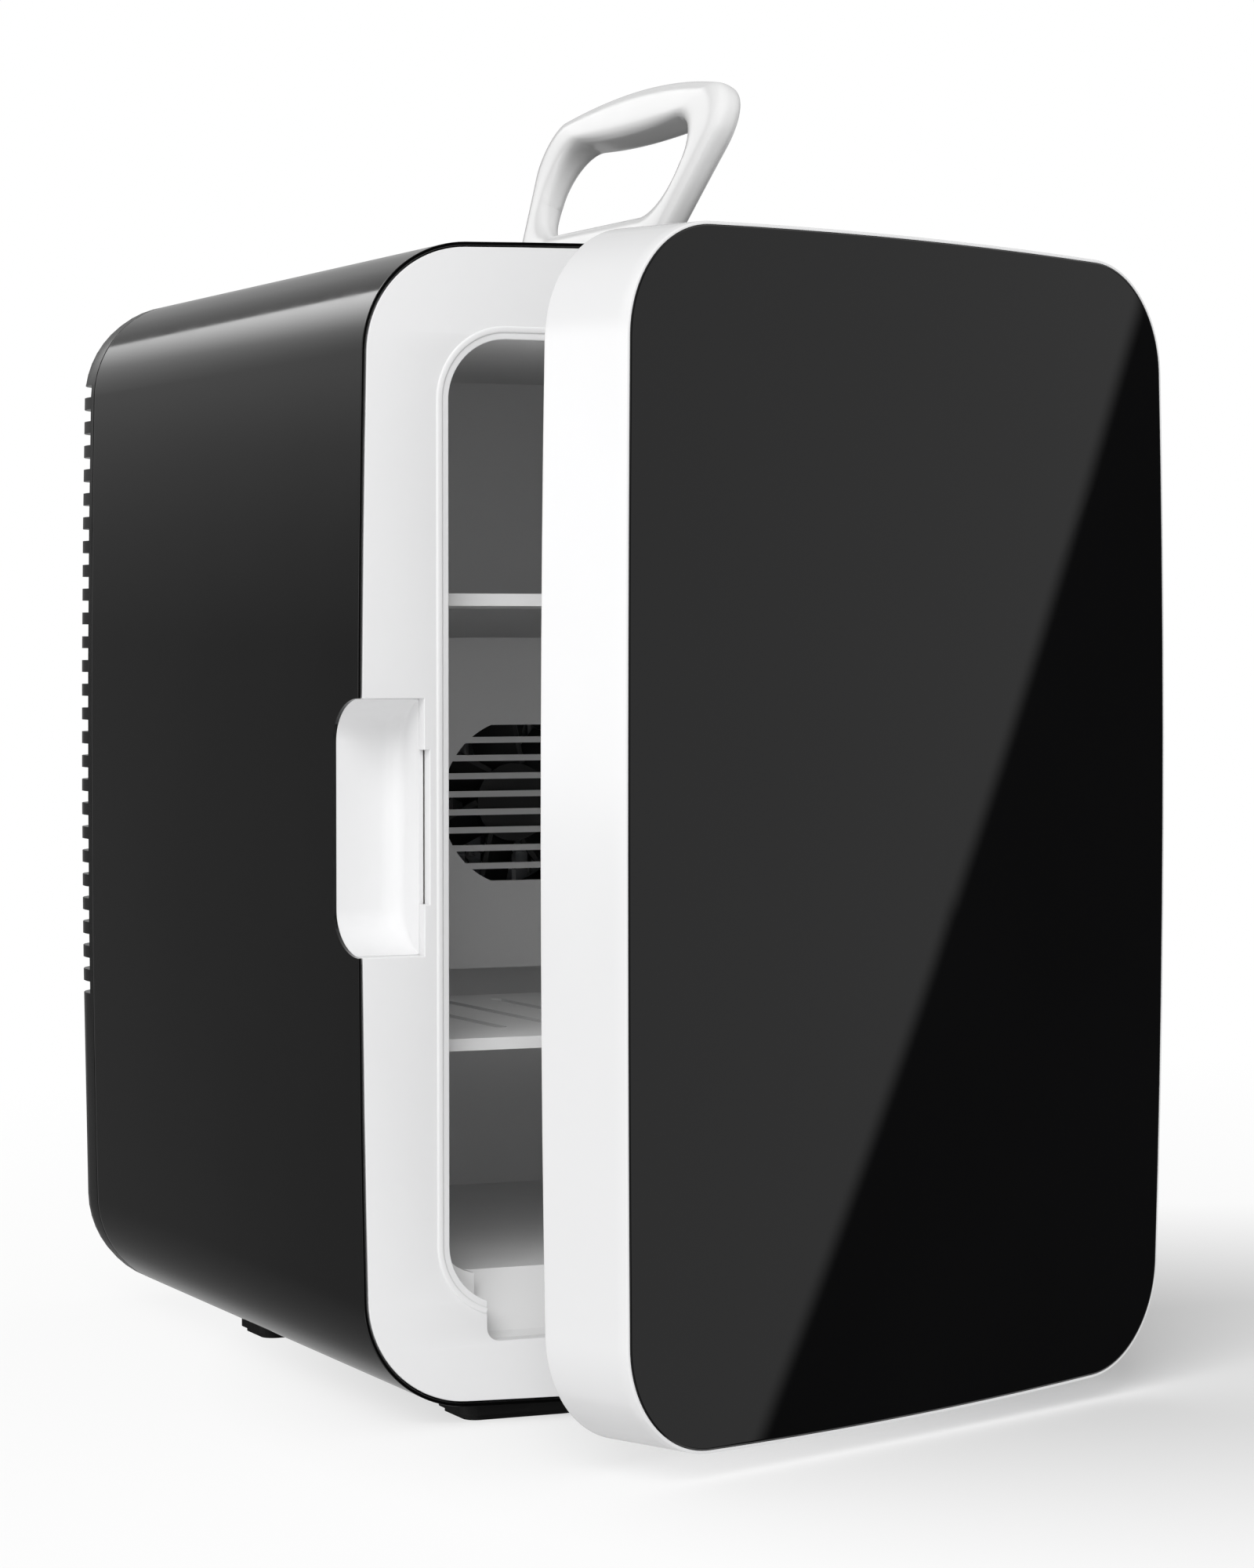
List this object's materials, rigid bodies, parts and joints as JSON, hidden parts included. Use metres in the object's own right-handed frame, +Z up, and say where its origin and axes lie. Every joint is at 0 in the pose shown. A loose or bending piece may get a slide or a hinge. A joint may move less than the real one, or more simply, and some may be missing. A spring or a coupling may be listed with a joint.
{
  "type": "mini fridge",
  "caption": "Portable thermoelectric mini fridge with a bowed black case, white bezel, domed black glass door, removable shelves and a folding carry handle.",
  "frame": {"origin": "on the floor, under the middle of the whole fridge's footprint as it stands with the door ajar", "axes": "+Z up; +Y towards the rear, so the compartment's mouth faces -Y; +X to the right when looking into the compartment"},
  "size_m": [0.2514, 0.4063, 0.406],
  "materials": {
    "shell_black": "satin gloss moulded ABS",
    "cover_black": "fine moulded texture",
    "bezel_white": "smooth moulded ABS",
    "liner_white": "smooth vacuum-formed liner",
    "door_white": "high-gloss moulded ABS",
    "glass_black": "tempered glass, back-painted black, polished",
    "handle_white": "high-gloss moulded ABS",
    "foot_rubber": "soft matt rubber",
    "gasket_grey": "soft magnetic-strip gasket",
    "insulation": "rigid foam",
    "bulkhead_grey": "plain moulded",
    "screw_steel": "zinc plated",
    "screw_black": "black oxide",
    "aluminium": "extruded, bare",
    "fan_black": "glass-filled nylon",
    "board_green": "soldermask over glass-fibre board",
    "coil_tape": "taped transformer",
    "can_black": "sleeved capacitor can",
    "nylon": "natural nylon",
    "ceramic": "alumina plates",
    "socket_black": "moulded socket body",
    "lamp_green": "tinted lens",
    "lead_red": "insulated lead",
    "lead_grey": "insulated lead"
  },
  "bodies": {
    "root": {"outer_shell": "shell_black", "front_bezel": "bezel_white", "inner_liner": "liner_white", "body_foam": "insulation", "rear_bulkhead": "bulkhead_grey", "grip_recess": "bezel_white", "hinge_pocket": "bezel_white", "upper_shelf": "liner_white", "lower_shelf": "liner_white", "rear_cover": "cover_black", "rear_cover_screws": "screw_black", "foot_front_left": "foot_rubber", "foot_front_right": "foot_rubber", "foot_rear_left": "foot_rubber", "foot_rear_right": "foot_rubber", "foot_screws": "screw_steel", "handle_brackets": "screw_steel", "handle_bracket_screws": "screw_steel", "strike_plates": "screw_steel", "body_hinge_bracket": "bezel_white", "hinge_backing_plate": "screw_steel", "body_hinge_screws": "screw_steel", "inner_fan_grille": "liner_white", "cold_fan_frame": "fan_black", "cold_fan_screws": "screw_steel", "cold_sink": "aluminium", "spacer_block": "aluminium", "peltier_module": "ceramic", "thermal_gasket": "foot_rubber", "hot_sink": "aluminium", "hot_sink_screws": "screw_steel", "hot_sink_bushes": "nylon", "thermal_cutout": "screw_steel", "hot_fan_frame": "fan_black", "hot_fan_screws": "screw_steel", "power_board": "board_green", "board_transformer": "coil_tape", "board_capacitors": "can_black", "power_board_screws": "screw_steel", "mains_inlet": "socket_black", "dc_socket": "socket_black", "mode_switch_housing": "socket_black", "status_lamps": "lamp_green", "power_leads": "lead_red", "fan_leads": "lead_grey"},
    "door": {"door_frame": "door_white", "door_glass": "glass_black", "door_foam": "insulation", "door_inner_panel": "liner_white", "door_gasket": "gasket_grey", "door_magnets": "screw_steel", "door_panel_screws": "screw_steel", "door_hinge_leaf": "bezel_white", "door_hinge_screws": "screw_steel", "hinge_pin": "screw_steel"},
    "handle": {"carry_handle": "handle_white", "handle_pins": "screw_steel"},
    "hot_rotor": {"hot_fan_rotor": "fan_black"},
    "cold_rotor": {"cold_fan_rotor": "fan_black"},
    "rocker": {"mode_rocker": "socket_black"}
  },
  "joints": [
    {"name": "door_hinge", "type": "hinge", "parent": "root", "child": "door", "pos_m": [0.1114, -0.0813, 0.1751], "axis": [0, 0, 1], "range_deg": [-21.7, 88.3]},
    {"name": "handle_hinge", "type": "hinge", "parent": "root", "child": "handle", "pos_m": [-0.0061, 0.0162, 0.3541], "axis": [0, 1, 0], "range_deg": [-22, 66]},
    {"name": "hot_fan_spin", "type": "hinge", "parent": "root", "child": "hot_rotor", "pos_m": [-0.0061, 0.1827, 0.1751], "axis": [0, 1, 0], "continuous": true},
    {"name": "cold_fan_spin", "type": "hinge", "parent": "root", "child": "cold_rotor", "pos_m": [-0.0061, 0.0909, 0.1751], "axis": [0, 1, 0], "continuous": true},
    {"name": "mode_switch", "type": "hinge", "parent": "root", "child": "rocker", "pos_m": [0.0239, 0.1997, 0.0351], "axis": [0, 0, 1], "range_deg": [-10, 10]}
  ]
}
